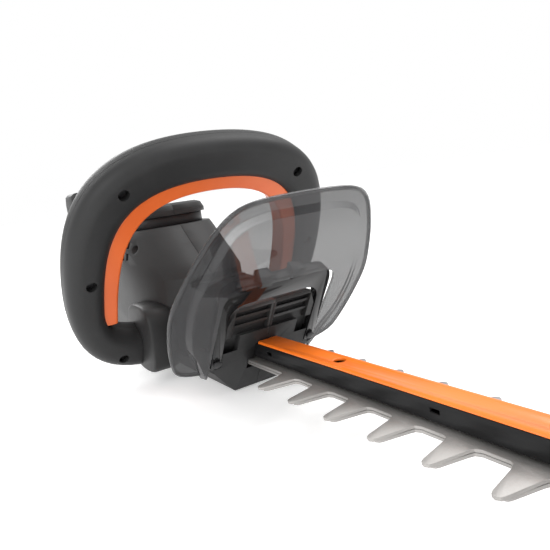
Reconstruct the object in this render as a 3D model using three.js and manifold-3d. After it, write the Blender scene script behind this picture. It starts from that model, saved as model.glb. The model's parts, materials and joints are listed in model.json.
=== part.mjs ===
// Cordless hedge trimmer with a 20 inch class double-action blade.
// Millimetres. +X runs along the blade, +Y to the user's left, +Z up.
// The lengthwise sizes below are measured from where the rail leaves the body.
// The finished object is moved forward so that its origin lies on the flat underside, below the body.
import * as THREE from "three";
import { mergeVertices } from "three/addons/utils/BufferGeometryUtils.js";
import Module from "manifold-3d";

const wasm = await Module();
wasm.setup();

// ---------------------------------------------------------------- driving dimensions
const ORIGIN_BEHIND_RAIL = 60;
const CLEAR = 0.3; // gap between pieces that touch
const HALF_PI = Math.PI / 2;
const degrees = THREE.MathUtils.degToRad;

// blades
const TOOTH_PITCH = 34;
const FIRST_TOOTH_X = 47.5; // first tooth of the right side; the left side is half a pitch behind
const TOOTH_REACH = 36.7; // centre plane to tooth tip
const TOOTH_TIP_R = 2.9;
const TOOTH_ROOT_HALF = 9.1;
const TOOTH_FILLET = 2.2;
const BLADE_HALF = 12.4;
const BLADE_THICK = 1.6;
const BLADE_TOP_Z = 26;
const LOWER_TOOTH_SHARE = 0.9; // the lower blade's teeth are a little shorter
const STROKE = 6; // each blade, each way
const NECK_HALF = 9;

// guide rail above the blades
const RAIL_HALF = 8.25;
const RAIL_WALL = 1.6;
const RAIL_FOOT_HALF = 5.2;
const RAIL_FOOT = 1.7;
const RAIL_HEIGHT = 10.4;
const RAIL_BACK_X = -92;
const BLADE_END_X = 508;
const RAIL_END_X = BLADE_END_X - 1;
const TEETH_PER_SIDE = Math.floor((BLADE_END_X - FIRST_TOOTH_X) / TOOTH_PITCH) + 1;
const CAP_THICK = 1.8;
const FIRST_BOLT_X = 85.8;
const BOLT_PITCH = 4 * TOOTH_PITCH;
const BOLT_COUNT = Math.floor((BLADE_END_X - FIRST_BOLT_X) / BOLT_PITCH) + 1;
const BOLT_R = 2.6;
const BOLT_HEAD_R = 5;
const BOLT_HEAD = 2.4;
const NUT_R = 4.6;
const NUT_THICK = 3.4;
const ACCESS_R = 4;

// drive
const CRANK_X = -134.5;
const ECCENTRIC = 6;
const DISC_R = 8;
const SHAFT_R = 4.6;
const GEAR_MODULE = 1.5;
const GEAR_TEETH = 40;
const PINION_TEETH = 10;
const GEAR_Z = 36;
const GEAR_THICK = 7;
const BEARING_R = 9;
const CAN_R = 23;
const CAN_BOTTOM_Z = 54;
const CAN_HEIGHT = 54;
const FAN_R = 25;

// housing
const WALL = 2.6;
const HUMP_X = -166;
const HUMP_BACK_X = -258;
const HUMP_HALF_WIDTH = 50;
const HUMP_TOP_Z = 125;
const SLOPE_FOOT_X = -72; // the front slope meets the nose here
// Height, front end, back end and half-width of the hump, from the bottom up.
const HUMP_ROWS = [
  [0, SLOPE_FOOT_X, HUMP_BACK_X, HUMP_HALF_WIDTH], [HUMP_TOP_Z - 41, SLOPE_FOOT_X, HUMP_BACK_X, HUMP_HALF_WIDTH],
  [HUMP_TOP_Z - 29, SLOPE_FOOT_X - 15, HUMP_BACK_X + 3, HUMP_HALF_WIDTH - 0.6],
  [HUMP_TOP_Z - 15, SLOPE_FOOT_X - 32, HUMP_BACK_X + 8, HUMP_HALF_WIDTH - 2],
  [HUMP_TOP_Z - 6, SLOPE_FOOT_X - 42.5, HUMP_BACK_X + 14, HUMP_HALF_WIDTH - 3.6],
  [HUMP_TOP_Z, SLOPE_FOOT_X - 48.5, HUMP_BACK_X + 22, HUMP_HALF_WIDTH - 6],
];
const NOSE_HALF = 35.5;
const NOSE_TOP_Z = 72;
const NOSE_BOTTOM_Z = 27;
const FRONT_X0 = -24.5; // front face at floor level
const FRONT_LEAN = degrees(34);
const BLOCK_HALF = 19; // underside of the lower block
const BLOCK_SIDE_HALF = 40;
const BAND_HEIGHT = 8.4;
const CAP_HEIGHT = 10.5;
const CAP_X = -180;
const CAP_HALF_LENGTH = 50;
const CAP_HALF_WIDTH = 42;
const POCKET_DEPTH = 5;

const SOLE = { x0: -100, x1: -42, half: 15, thick: 2.4 }; // the gear case's bottom plate

// rear handle, tail and battery
const GRIP_HALF = 16;
const GRIP_ROUND = 7;
const GRIP_FRONT_X = -236;
const TAIL_FRONT_X = -344;
const TAIL_BACK_X = -392;
const TAIL_HALF = 37;
const TAIL_ROUND = 7;
const TAIL_TOP_Z = 172;
const TAIL_BOTTOM_Z = 12;
const FOOT_HALF = 30;
const GRIP_BOTTOM_Z = 118;
const LOWER_BAR_TOP_Z = 42;
const LOWER_BAR_BOTTOM_Z = 17;
const BATTERY_DEPTH = 42;
const BATTERY_BOTTOM_Z = 34;
const BATTERY_HEIGHT = 100;
const BATTERY_HALF = 36;
const DOVETAIL_HALF = 20;
const DOVETAIL_DEPTH = 6;
const DOVETAIL_FLARE = 4;
const TONGUE_LENGTH = 86;
const CASE_WALL = 3;
const CELL_R = 8.2;
const CELL_PITCH = 15.4;

// front loop handle, on a plane that leans forward
const LOOP_LEAN = degrees(30);
const LOOP_X0 = -140.5;
const LOOP_OUTER = 114; // half-width outside
const LOOP_INNER = LOOP_OUTER - 29; // half-width inside
const LOOP_TOP = 220;
const LOOP_INNER_TOP = LOOP_TOP - 33;
const OUTER_CORNER = [0.72, 0.72]; // how far each Bezier handle reaches up and across
const INNER_CORNER = [0.68, 0.87];
const LOOP_OUTER_FOOT = 108; // where the legs start to curve in
const LOOP_INNER_FOOT = 86;
const LOOP_LOW = 17.5;
const LEG_WIDTH = 36;
const LOOP_DEPTH_HALF = 15;
const LOOP_ROUND = 11;
const TUBE_WALL = 3;
const LOOP_SCREWS = [
  [LOOP_OUTER - 42, LOOP_TOP - 32.5],
  [LOOP_OUTER - 17, LOOP_OUTER_FOOT + 9],
  [LOOP_OUTER - 40, LOOP_LOW + 19.5],
];
const LOOP_SCREW_SEAT = 8;
const LOOP_SCREW_HEAD_R = 3.6;
const BAIL_HALF = 9.5;
const BAIL_PROUD = 9;
const BAIL_SUNK = 4.6;
const BAIL_TRAVEL = 4;
const BAIL_END = 71; // height of the lever's ends up the loop's plane
const COLLAR_X = -109;
const COLLAR_Z = 38;
const COLLAR_R = 29;
const COLLAR_FACE = 57.5;

// guard, on a plane that leans forward
const GUARD_LEAN = degrees(38);
const GUARD_X0 = -34.7;
const GUARD_THICK = 2.2;
const GUARD_STEP = 4;
const SHIELD_EDGE = [
  [46, 30], [65, 38], [72, 55], [76, 78], [77, 99], [73, 118], [64, 144], [51, 168], [34, 177], [0, 179],
];
const RAISED_EDGE = [[46, 26], [56, 50], [62, 64], [65.5, 88], [64, 112], [56, 138], [46, 160], [28, 168], [0, 169]];
const FRAME_OUTER = 43.5;
const FRAME_INNER = 36.2;
const FRAME_FOOT = 34;
const FRAME_TOP = 106;
const FRAME_INNER_TOP = 90;
const FRAME_DEPTH = 7;
const FRAME_SCREW_Y = 39.8;
const FRAME_SCREW_S = 39;

// ---------------------------------------------------------------- solids and materials
const object = new THREE.Group();
object.name = "hedge_trimmer";
object.position.x = ORIGIN_BEHIND_RAIL;

const LOOKS = {
  dark_plastic: [0x3a3a3a, 0.55, 0],
  black_plastic: [0x1d1d1e, 0.4, 0],
  orange_plastic: [0xe0601c, 0.45, 0],
  smoked_plastic: [0x5a5a5c, 0.15, 0],
  frame_plastic: [0x2a2a2b, 0.2, 0],
  blade_steel: [0x8d8b88, 0.45, 1],
  bright_steel: [0xb5b5b8, 0.3, 1],
  cast_alloy: [0x9a9a9c, 0.5, 1],
  rail_black: [0x262627, 0.45, 0],
  board_green: [0x1f5a36, 0.6, 0],
  copper_brown: [0x8a4a2a, 0.4, 1],
  black_screw: [0x18181a, 0.4, 1],
};

function solidOf(geometry, matrix = new THREE.Matrix4()) {
  const flat = geometry.index ? geometry.toNonIndexed() : geometry.clone();
  flat.deleteAttribute("normal");
  flat.deleteAttribute("uv");
  flat.applyMatrix4(matrix);
  const merged = mergeVertices(flat, 1e-4);
  return new wasm.Manifold(
    new wasm.Mesh({
      numProp: 3,
      vertProperties: new Float32Array(merged.attributes.position.array),
      triVerts: new Uint32Array(merged.index.array),
    }),
  );
}

function geometryOf(solid) {
  const mesh = solid.getMesh();
  const geometry = new THREE.BufferGeometry();
  geometry.setAttribute("position", new THREE.BufferAttribute(mesh.vertProperties, 3));
  geometry.setIndex(new THREE.BufferAttribute(mesh.triVerts, 1));
  return geometry;
}

function material(look) {
  const [color, roughness, metalness] = LOOKS[look];
  return new THREE.MeshStandardMaterial({ color, roughness, metalness });
}

function addPart(name, shape, look, parent = object) {
  const geometry = shape.isBufferGeometry ? shape : geometryOf(shape);
  const mesh = new THREE.Mesh(geometry, material(look));
  mesh.name = name;
  parent.add(mesh);
  return mesh;
}

const union = (first, ...rest) => rest.reduce((sum, next) => sum.add(next), first);
const cut = (first, ...rest) => rest.reduce((left, next) => left.subtract(next), first);
const at = (x, y, z) => new THREE.Matrix4().makeTranslation(x, y, z);

function box(x0, x1, y0, y1, z0, z1) {
  const geometry = new THREE.BoxGeometry(x1 - x0, y1 - y0, z1 - z0);
  return solidOf(geometry, at((x0 + x1) / 2, (y0 + y1) / 2, (z0 + z1) / 2));
}

// A cylinder from z0 to z1 about the vertical line through (x, y).
function post(x, y, z0, z1, radius, sides = 16) {
  const geometry = new THREE.CylinderGeometry(radius, radius, z1 - z0, sides);
  geometry.rotateX(HALF_PI);
  return solidOf(geometry, at(x, y, (z0 + z1) / 2));
}

// A cylinder from y0 to y1 about the crosswise line through (x, z).
function crossPost(x, z, y0, y1, radius, sides = 12) {
  const geometry = new THREE.CylinderGeometry(radius, radius, y1 - y0, sides);
  return solidOf(geometry, at(x, (y0 + y1) / 2, z));
}

// A cylinder from x0 to x1 about the lengthwise line through (y, z).
function longPost(y, z, x0, x1, radius, sides = 12) {
  const geometry = new THREE.CylinderGeometry(radius, radius, x1 - x0, sides);
  geometry.rotateZ(HALF_PI);
  return solidOf(geometry, at((x0 + x1) / 2, y, z));
}

const polygon = (points) => new THREE.Shape(points.map(([x, y]) => new THREE.Vector2(x, y)));

// An outline in X and Y, from z0 to z1.
function plate(points, z0, z1, holes = []) {
  const shape = polygon(points);
  shape.holes = holes.map(polygon);
  const geometry = new THREE.ExtrudeGeometry(shape, { depth: z1 - z0, bevelEnabled: false });
  return solidOf(geometry, at(0, 0, z0));
}

// An outline in X and Z, across from y0 to y1.
function sidePlate(points, y0, y1) {
  const geometry = new THREE.ExtrudeGeometry(polygon(points), { depth: y1 - y0, bevelEnabled: false });
  geometry.rotateX(HALF_PI);
  return solidOf(geometry, at(0, y1, 0));
}

// An outline in X and Z, across from -half to half, with its edges rounded.
function softPlate(points, half, round) {
  const geometry = new THREE.ExtrudeGeometry(polygon(points), {
    depth: 2 * (half - round),
    bevelEnabled: true,
    bevelThickness: round,
    bevelSize: round,
    bevelOffset: -round,
    bevelSegments: 3,
  });
  geometry.rotateX(HALF_PI);
  return solidOf(geometry, at(0, half - round, 0));
}

// An outline in Y and Z, along from x0 to x1.
function facePlate(points, x0, x1, holes = []) {
  const shape = polygon(points);
  shape.holes = holes.map(polygon);
  const geometry = new THREE.ExtrudeGeometry(shape, { depth: x1 - x0, bevelEnabled: false });
  geometry.rotateY(HALF_PI);
  geometry.rotateX(HALF_PI);
  return solidOf(geometry, at(x0, 0, 0));
}

// A rounded oval between an ellipse and a rectangle.
function oval(cx, cy, halfX, halfY, exponent = 3, count = 28) {
  const points = [];
  for (let i = 0; i < count; i += 1) {
    const angle = (2 * Math.PI * i) / count;
    const c = Math.cos(angle);
    const s = Math.sin(angle);
    const x = cx + halfX * Math.sign(c) * Math.abs(c) ** (2 / exponent);
    const y = cy + halfY * Math.sign(s) * Math.abs(s) ** (2 / exponent);
    points.push([x, y]);
  }
  return points;
}

// A slot with round ends, travel being the distance of each end's centre from the middle.
function stadium(cx, travel, radius, count = 6) {
  const points = [];
  for (const side of [1, -1]) {
    for (let i = 0; i <= count; i += 1) {
      const angle = side * (-HALF_PI + (Math.PI * i) / count);
      points.push([cx + side * (travel + radius * Math.cos(angle)), radius * Math.sin(angle)]);
    }
  }
  return points;
}

const mirrored = (half) => [...half, ...half.slice().reverse().map(([y, z]) => [-y, z])];

// ---------------------------------------------------------------- blades
const upperZ = [BLADE_TOP_Z - BLADE_THICK, BLADE_TOP_Z];
const lowerZ = [upperZ[0] - CLEAR - BLADE_THICK, upperZ[0] - CLEAR];
const boltXs = Array.from({ length: BOLT_COUNT }, (_, i) => FIRST_BOLT_X + i * BOLT_PITCH);
const windowHalfX = ECCENTRIC + DISC_R + STROKE + CLEAR;
const windowHalfY = ECCENTRIC + DISC_R + CLEAR;
const yokeWall = 5;

// A closed form with rounded-oval rows; each row is [height, front end, back end, half-width].
function loft(rows, exponent = 2.7, sides = 36) {
  const bottom = rows[0][0];
  const end = rows.at(-1)[0];
  const profile = [[0, bottom], ...rows.map(([z]) => [1, z]), [0, end]];
  const geometry = new THREE.LatheGeometry(profile.map(([r, z]) => new THREE.Vector2(r, z)), sides);
  const place = geometry.attributes.position;
  for (let i = 0; i < place.count; i += 1) {
    const height = place.getY(i);
    const [, front, back, half] = rows.reduce((best, row) => (
      Math.abs(row[0] - height) < Math.abs(best[0] - height) ? row : best
    ));
    const c = Math.abs(place.getX(i)) < 1e-6 ? 0 : place.getX(i);
    const sine = Math.abs(place.getZ(i)) < 1e-6 ? 0 : place.getZ(i);
    const x = (front + back) / 2 + ((front - back) / 2) * Math.sign(c) * Math.abs(c) ** (2 / exponent);
    place.setXYZ(i, x, -half * Math.sign(sine) * Math.abs(sine) ** (2 / exponent), height);
  }
  geometry.deleteAttribute("uv");
  geometry.deleteAttribute("normal");
  return solidOf(geometry);
}

// One side of a blade, from its neck to its tip, for side = 1 (left) or -1 (right).
// A tooth has a short rear flank and a longer, hooked front one.
function toothedEdge(side, reach) {
  const shoulder = BLADE_HALF + 4;
  const tip = reach - TOOTH_TIP_R;
  const tooth = [
    [-TOOTH_ROOT_HALF - TOOTH_FILLET / 2, BLADE_HALF],
    [-TOOTH_ROOT_HALF + TOOTH_FILLET / 3, BLADE_HALF + TOOTH_FILLET / 2],
    [-0.77 * TOOTH_ROOT_HALF, shoulder],
    [-TOOTH_TIP_R, tip],
    [-0.7 * TOOTH_TIP_R, tip + 0.7 * TOOTH_TIP_R],
    [0, reach],
    [0.7 * TOOTH_TIP_R, tip + 0.7 * TOOTH_TIP_R],
    [TOOTH_TIP_R, tip],
    [0.69 * TOOTH_ROOT_HALF, shoulder],
    [0.8 * TOOTH_ROOT_HALF, BLADE_HALF + 1.4],
    [TOOTH_ROOT_HALF + TOOTH_FILLET / 2, BLADE_HALF],
  ];
  const points = [[FRONT_X0 + 4, side * NECK_HALF], [FRONT_X0 + 16, side * BLADE_HALF]];
  const start = side > 0 ? FIRST_TOOTH_X - TOOTH_PITCH / 2 : FIRST_TOOTH_X;
  for (let n = 0; n < TEETH_PER_SIDE; n += 1) {
    points.push(...tooth.map(([x, y]) => [start + n * TOOTH_PITCH + x, side * y]));
  }
  const last = start + (TEETH_PER_SIDE - 1) * TOOTH_PITCH + TOOTH_ROOT_HALF;
  points.push([Math.max(BLADE_END_X - 5, last + 2), side * BLADE_HALF]);
  points.push([BLADE_END_X, side * (BLADE_HALF - 5)]);
  return points;
}

function blade(reach, z) {
  const outline = [...toothedEdge(-1, reach), ...toothedEdge(1, reach).reverse()];
  const slotHalf = BOLT_R + CLEAR;
  const slots = boltXs.map((x) => stadium(x, STROKE, slotHalf));
  const bar = plate(outline, z[0], z[1], slots);
  const neck = box(CRANK_X + windowHalfX, FRONT_X0 + 5, -NECK_HALF, NECK_HALF, z[0], z[1]);
  const yokeX = windowHalfX + yokeWall;
  const yoke = box(CRANK_X - yokeX, CRANK_X + yokeX, -windowHalfY - yokeWall, windowHalfY + yokeWall, z[0], z[1]);
  const window = box(
    CRANK_X - windowHalfX, CRANK_X + windowHalfX, -windowHalfY, windowHalfY, z[0] - 1, z[1] + 1,
  );
  return cut(union(bar, neck, yoke), window);
}
addPart("upper_blade", blade(TOOTH_REACH, upperZ), "blade_steel");
addPart("lower_blade", blade(TOOTH_REACH * LOWER_TOOTH_SHARE, lowerZ), "blade_steel");

// ---------------------------------------------------------------- rail, cap, bolts, tip guard
const railBottom = BLADE_TOP_Z + CLEAR;
const railTop = railBottom + RAIL_FOOT + RAIL_HEIGHT;
const floorOfRail = railBottom + RAIL_FOOT;
const railSection = [
  [RAIL_FOOT_HALF, railBottom], [RAIL_FOOT_HALF, floorOfRail], [RAIL_HALF, floorOfRail], [RAIL_HALF, railTop],
  [RAIL_HALF - RAIL_WALL, railTop], [RAIL_HALF - RAIL_WALL, floorOfRail + RAIL_WALL],
];
const railBody = facePlate(mirrored(railSection), RAIL_BACK_X, RAIL_END_X);
const railHoles = boltXs.map((x) => post(x, 0, railBottom - 1, floorOfRail + RAIL_WALL + 1, BOLT_R + CLEAR, 10));
const windowXs = [17, 17 + 4.35 * TOOTH_PITCH];
const clipWindows = windowXs.map((x) => box(x - 3, x + 3, -RAIL_HALF - 1, RAIL_HALF + 1, railTop - 6, railTop - 3.6));
addPart("guide_rail", cut(railBody, ...railHoles, ...clipWindows), "rail_black");

const capZ = railTop + CLEAR;
const capSection = mirrored([
  [RAIL_HALF, capZ], [RAIL_HALF, capZ + CAP_THICK - 0.7], [RAIL_HALF - 0.9, capZ + CAP_THICK],
]);
const capFrontX = FRONT_X0 + Math.tan(FRONT_LEAN) * (capZ + CAP_THICK) + 2 * CLEAR;
const capBody = facePlate(capSection, capFrontX, RAIL_END_X);
const clipHalf = RAIL_HALF - RAIL_WALL - CLEAR;
const clips = windowXs.flatMap((x) => [-1, 1].map((side) => {
  const outer = side * clipHalf;
  const inner = side * (clipHalf - 1.4);
  return box(x - 2.4, x + 2.4, Math.min(outer, inner), Math.max(outer, inner), railTop - 3, capZ + 0.5);
}));
const accessHoles = boltXs.map((x) => post(x, 0, capZ - 2, capZ + CAP_THICK + 1, ACCESS_R, 16));
addPart("rail_cap", cut(union(capBody, ...clips), ...accessHoles), "orange_plastic");

boltXs.forEach((x, i) => {
  const headTop = lowerZ[0] - CLEAR;
  const nutBottom = floorOfRail + RAIL_WALL + CLEAR;
  const head = post(x, 0, headTop - BOLT_HEAD, headTop, BOLT_HEAD_R, 12);
  const shank = post(x, 0, headTop - 0.5, nutBottom + NUT_THICK + 1.2, BOLT_R, 10);
  addPart("blade_bolt_" + (i + 1), union(head, shank), "bright_steel");
  const nut = cut(
    post(x, 0, nutBottom, nutBottom + NUT_THICK, NUT_R, 6),
    post(x, 0, nutBottom - 1, nutBottom + NUT_THICK + 1, BOLT_R + CLEAR, 10),
  );
  addPart("blade_nut_" + (i + 1), nut, "bright_steel");
});

const tipStart = RAIL_END_X + STROKE + 1;
const tipOutline = mirrored([[tipStart, 12], [tipStart + 8, 10.5], [tipStart + 13, 5]].map(([x, y]) => [y, x]));
const tipNose = plate(tipOutline.map(([y, x]) => [x, y]), lowerZ[0] - 2, capZ + CAP_THICK);
const tipTongue = box(
  RAIL_END_X - 7, tipStart + 2, -RAIL_HALF + RAIL_WALL + CLEAR, RAIL_HALF - RAIL_WALL - CLEAR,
  floorOfRail + RAIL_WALL + CLEAR, railTop - 1,
);
addPart("tip_guard", union(tipNose, tipTongue), "black_plastic");

// ---------------------------------------------------------------- drive
const gearPitchR = (GEAR_MODULE * GEAR_TEETH) / 2;
const pinionPitchR = (GEAR_MODULE * PINION_TEETH) / 2;
const MOTOR_X = CRANK_X - gearPitchR - pinionPitchR;

// A spur gear's outline; a tooth points along +X when phase is 0.
function gearOutline(cx, teeth, phase) {
  const pitchR = (GEAR_MODULE * teeth) / 2;
  const tipR = pitchR + 0.75 * GEAR_MODULE;
  const rootR = pitchR - 1.05 * GEAR_MODULE;
  const step = (2 * Math.PI) / teeth;
  const points = [];
  for (let n = 0; n < teeth; n += 1) {
    for (const [share, r] of [[-0.34, rootR], [-0.12, tipR], [0.12, tipR], [0.34, rootR]]) {
      const angle = phase + (n + share) * step;
      points.push([cx + r * Math.cos(angle), r * Math.sin(angle)]);
    }
  }
  return points;
}
const crankShaft = union(
  post(CRANK_X, 0, 11, GEAR_Z + GEAR_THICK + 1, SHAFT_R, 16),
  post(CRANK_X, ECCENTRIC, upperZ[0] + 0.1, upperZ[1] - 0.1, DISC_R, 20),
  post(CRANK_X, -ECCENTRIC, lowerZ[0] + 0.1, lowerZ[1] - 0.1, DISC_R, 20),
);
addPart("crank_shaft", crankShaft, "bright_steel");
const gearBore = post(CRANK_X, 0, GEAR_Z - 1, GEAR_Z + GEAR_THICK + 1, SHAFT_R + CLEAR, 16);
addPart(
  "drive_gear",
  cut(plate(gearOutline(CRANK_X, GEAR_TEETH, 0), GEAR_Z, GEAR_Z + GEAR_THICK), gearBore),
  "bright_steel",
);

const MOTOR_SHAFT_R = 3;
const pinionBore = post(MOTOR_X, 0, GEAR_Z - 2, GEAR_Z + GEAR_THICK + 2, MOTOR_SHAFT_R + CLEAR, 10);
const pinionPhase = Math.PI / PINION_TEETH;
addPart(
  "motor_pinion",
  cut(plate(gearOutline(MOTOR_X, PINION_TEETH, pinionPhase), GEAR_Z - 0.5, GEAR_Z + GEAR_THICK + 0.5), pinionBore),
  "bright_steel",
);
const canTop = CAN_BOTTOM_Z + CAN_HEIGHT;
const armature = union(
  post(MOTOR_X, 0, GEAR_Z - 1, canTop + 10, MOTOR_SHAFT_R, 10),
  post(MOTOR_X, 0, CAN_BOTTOM_Z + 8, canTop - 8, CAN_R - 6, 20),
);
addPart("motor_armature", armature, "copper_brown");
const canInner = post(MOTOR_X, 0, CAN_BOTTOM_Z + 2, canTop - 2, CAN_R - 2, 24);
const canBore = post(MOTOR_X, 0, CAN_BOTTOM_Z - 1, canTop + 1, MOTOR_SHAFT_R + CLEAR, 10);
addPart(
  "motor_can",
  cut(post(MOTOR_X, 0, CAN_BOTTOM_Z, canTop, CAN_R, 24), canInner, canBore),
  "bright_steel",
);
const fanBlades = [];
for (let n = 0; n < 8; n += 1) {
  const bladeBox = new THREE.BoxGeometry(FAN_R - 8, 1.6, 7);
  bladeBox.translate((FAN_R + 8) / 2, 0, 0);
  bladeBox.rotateZ((n * Math.PI) / 4);
  fanBlades.push(solidOf(bladeBox, at(MOTOR_X, 0, canTop + 6)));
}
const fanHub = cut(
  union(post(MOTOR_X, 0, canTop + 2, canTop + 9, 9, 16), ...fanBlades),
  post(MOTOR_X, 0, canTop, canTop + 11, MOTOR_SHAFT_R + CLEAR, 10),
);
addPart("cooling_fan", fanHub, "black_plastic");

const caseHalfX = windowHalfX + yokeWall + STROKE + 3;
const caseHalfY = windowHalfY + yokeWall + 8;
const basePlate = box(CRANK_X - caseHalfX, CRANK_X + caseHalfX, -caseHalfY, caseHalfY, 13, 19);
const caseWalls = [-1, 1].map((side) => {
  const inner = side * (windowHalfY + yokeWall + 3);
  const outer = side * caseHalfY;
  return box(CRANK_X - caseHalfX, CRANK_X + caseHalfX, Math.min(inner, outer), Math.max(inner, outer), 18, 28);
});
const bearingBore = post(CRANK_X, 0, 0, GEAR_Z, BEARING_R + CLEAR, 20);
addPart("gear_case", cut(union(basePlate, ...caseWalls), bearingBore), "cast_alloy");
const coverPlate = box(
  CRANK_X - caseHalfX, CRANK_X + caseHalfX, -caseHalfY, caseHalfY, 28 + CLEAR, 33,
);
addPart("gear_case_cover", cut(coverPlate, bearingBore), "cast_alloy");
const soleFeet = [-1, 1].map((side) => post(SOLE.x0 + 6, side * 9, 1, 13 - CLEAR, 4, 12));
addPart("sole_plate", union(box(SOLE.x0, SOLE.x1, -SOLE.half, SOLE.half, 0, SOLE.thick), ...soleFeet), "cast_alloy");
for (const [name, z0, z1] of [["lower_bearing", 13.4, 18.6], ["upper_bearing", 28.6, 32.8]]) {
  const ring = cut(
    post(CRANK_X, 0, z0, z1, BEARING_R, 20),
    post(CRANK_X, 0, z0 - 1, z1 + 1, SHAFT_R + CLEAR, 16),
  );
  addPart(name, ring, "bright_steel");
}

// ---------------------------------------------------------------- housing halves
const frontX = (z) => FRONT_X0 + Math.tan(FRONT_LEAN) * z;

// The body's outer form, or the hollow inside it when inset is the wall.
function bodyForm(inset) {
  const top = HUMP_TOP_Z - inset;
  const sideLine = [
    [frontX(0) - inset * 2, inset],
    [frontX(NOSE_TOP_Z) - inset * 2.4 - (inset > 0 ? POCKET_DEPTH : 0), NOSE_TOP_Z - inset],
    [SLOPE_FOOT_X - inset + 12, NOSE_TOP_Z + 7 - inset],
    [SLOPE_FOOT_X - inset, top],
    [HUMP_BACK_X + 20, top],
    [HUMP_BACK_X + 14 + inset, top - 26],
    [HUMP_BACK_X + inset, 60],
    [HUMP_BACK_X + 14 + inset, inset],
  ];
  const profile = sidePlate(sideLine, -HUMP_HALF_WIDTH - 1, HUMP_HALF_WIDTH + 1);
  const hump = loft(HUMP_ROWS.map(([z, front, back, half]) => [
    z === HUMP_TOP_Z ? top : z, front - inset, back + inset, half - inset,
  ]));
  const nose = facePlate(
    mirrored([
      [BLOCK_HALF - inset / 2, inset], [26 - inset, 7], [BLOCK_SIDE_HALF - inset, 23],
      [BLOCK_SIDE_HALF - inset, NOSE_BOTTOM_Z - inset], [NOSE_HALF - inset, NOSE_BOTTOM_Z - inset],
      [NOSE_HALF - inset, NOSE_TOP_Z - 12], [NOSE_HALF - inset - 11, NOSE_TOP_Z + 8 - inset],
    ]),
    HUMP_X, frontX(NOSE_TOP_Z) + 10,
  );
  const lowerSides = facePlate(
    mirrored([
      [BLOCK_HALF - inset / 2, inset], [26 - inset, 7], [BLOCK_SIDE_HALF - inset, 23], [49 - inset, 52],
      [HUMP_HALF_WIDTH + 1, 58], [HUMP_HALF_WIDTH + 1, 200],
    ]),
    HUMP_BACK_X - 20, frontX(NOSE_TOP_Z) + 20,
  );
  return profile.intersect(union(hump, nose)).intersect(lowerSides);
}

// The rear handle: upper grip, lower bar, tail and foot.
function handleForm(inset) {
  const top = [
    [HUMP_BACK_X + 52, HUMP_TOP_Z - 30 - inset], [GRIP_FRONT_X - 10, HUMP_TOP_Z + 22 - inset],
    [TAIL_FRONT_X + 10, TAIL_TOP_Z - 12 - inset], [TAIL_FRONT_X - 12, TAIL_TOP_Z - 6 - inset],
    [TAIL_FRONT_X - 12, GRIP_BOTTOM_Z + 14 + inset], [GRIP_FRONT_X - 20, GRIP_BOTTOM_Z - 2 + inset],
    [GRIP_FRONT_X + 6, GRIP_BOTTOM_Z - 24 + inset], [HUMP_BACK_X + 52, GRIP_BOTTOM_Z - 36 + inset],
  ];
  const grip = softPlate(top, GRIP_HALF - inset, GRIP_ROUND - inset);
  const bar = box(
    TAIL_FRONT_X - 12, HUMP_BACK_X + 30, -15 + inset, 15 - inset,
    LOWER_BAR_BOTTOM_Z + inset, LOWER_BAR_TOP_Z - inset,
  );
  const tail = softPlate(
    [
      [TAIL_FRONT_X - inset, TAIL_BOTTOM_Z + 12 + inset], [TAIL_FRONT_X - inset, TAIL_TOP_Z - 10 - inset],
      [TAIL_FRONT_X - 8 - inset, TAIL_TOP_Z - inset], [TAIL_BACK_X + 6 + inset, TAIL_TOP_Z - inset],
      [TAIL_BACK_X + inset, TAIL_TOP_Z - 12 - inset], [TAIL_BACK_X + inset, TAIL_BOTTOM_Z + inset],
      [TAIL_FRONT_X - 16 - inset, TAIL_BOTTOM_Z + inset],
    ],
    TAIL_HALF - inset, TAIL_ROUND - inset,
  );
  return union(grip, bar, tail);
}
const footBlock = box(TAIL_BACK_X + 4, TAIL_BACK_X + 22, -FOOT_HALF, FOOT_HALF, 0, TAIL_BOTTOM_Z + 4);
const outerForm = union(bodyForm(0), handleForm(0), footBlock);
const hollow = union(bodyForm(WALL), handleForm(WALL));

// openings in the front: blades, rail, and the ribbed pocket
const bladeSlot = box(
  SLOPE_FOOT_X, frontX(NOSE_TOP_Z) + 10, -BLADE_HALF - 0.5, BLADE_HALF + 0.5, lowerZ[0] - 4, BLADE_TOP_Z + 1,
);
const railSlot = box(
  RAIL_BACK_X - CLEAR, frontX(NOSE_TOP_Z) + 10, -RAIL_HALF - CLEAR, RAIL_HALF + CLEAR, BLADE_TOP_Z, railTop + CLEAR,
);
const pocketLine = (z, depth) => [frontX(z) - depth, z];
const pocket = sidePlate(
  [
    [frontX(50) + 4, 50], [frontX(69) + 4, 69], pocketLine(69, POCKET_DEPTH), pocketLine(50, POCKET_DEPTH),
  ],
  -NOSE_HALF + 5, NOSE_HALF - 5,
);
const pocketRibs = union(
  sidePlate(
    [pocketLine(49, 1.2), pocketLine(70, 1.2), pocketLine(70, POCKET_DEPTH + 1), pocketLine(49, POCKET_DEPTH + 1)],
    -2, 2,
  ),
  ...[56.5, 63].map((z) => sidePlate(
    [pocketLine(z, 1.8), pocketLine(z + 2, 1.8), pocketLine(z + 2, POCKET_DEPTH + 1), pocketLine(z, POCKET_DEPTH + 1)],
    -NOSE_HALF + 4, NOSE_HALF - 4,
  )),
);
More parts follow.
